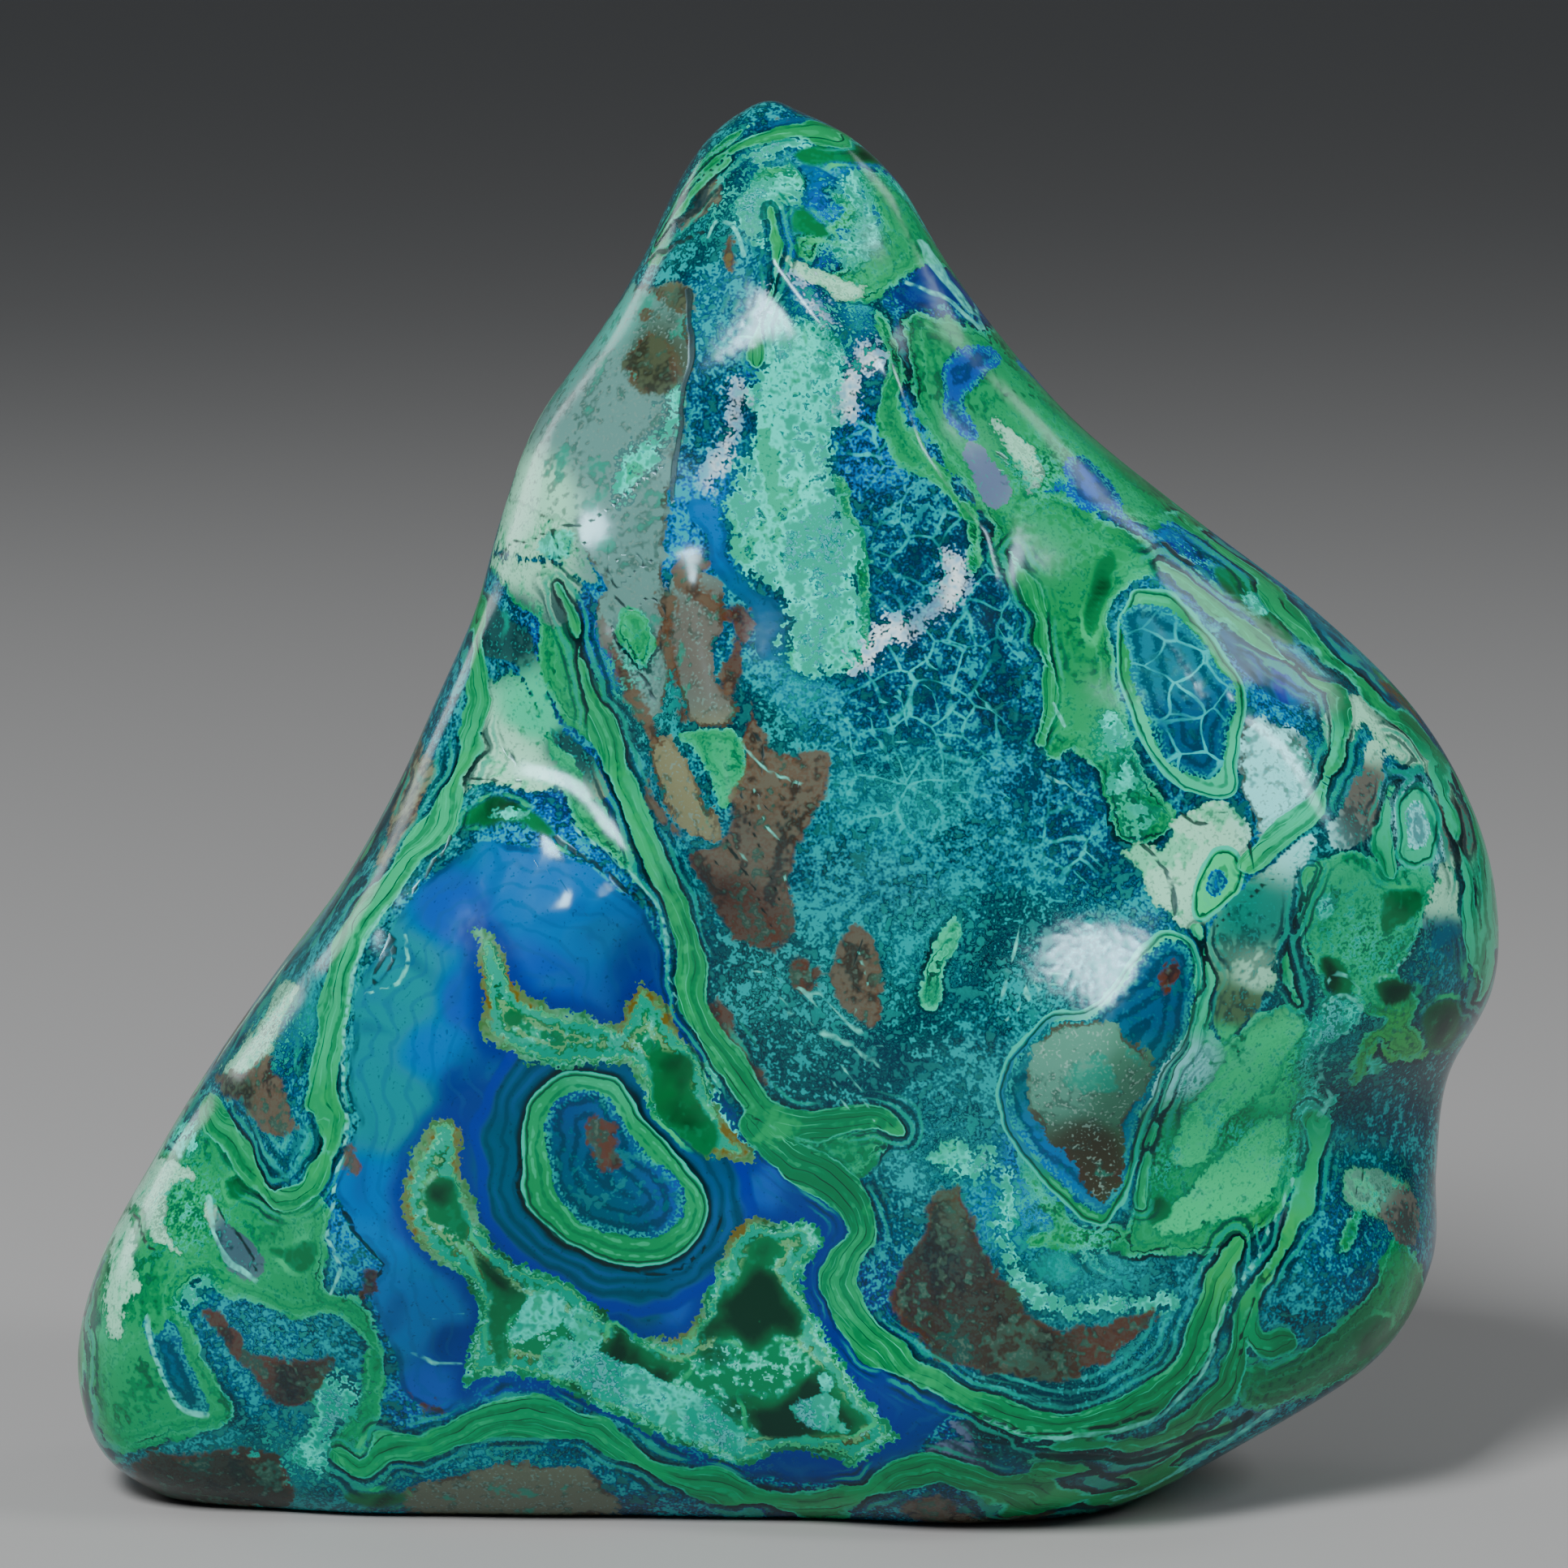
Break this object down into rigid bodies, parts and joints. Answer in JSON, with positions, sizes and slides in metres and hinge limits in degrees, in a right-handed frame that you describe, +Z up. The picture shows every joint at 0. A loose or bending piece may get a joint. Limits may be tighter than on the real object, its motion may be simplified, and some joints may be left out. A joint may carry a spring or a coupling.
{
  "type": "polished azurite malachite freeform",
  "caption": "Polished natural stone freeform with a flat sawn base, tapering to a rounded peak, banded in azurite blue, malachite green and chrysocolla teal, stood on a shelf for display.",
  "frame": {"origin": "middle of the bounding box, on the flat base that the stone stands on", "axes": "+Z is up through the peak, +X is to the right of the broad front face, and the broad front face looks along -Y"},
  "size_m": [0.122, 0.0564, 0.1192],
  "materials": {
    "polished_mineral": "polished to a gloss"
  },
  "bodies": {
    "root": {"stone": "polished_mineral"}
  },
  "joints": []
}
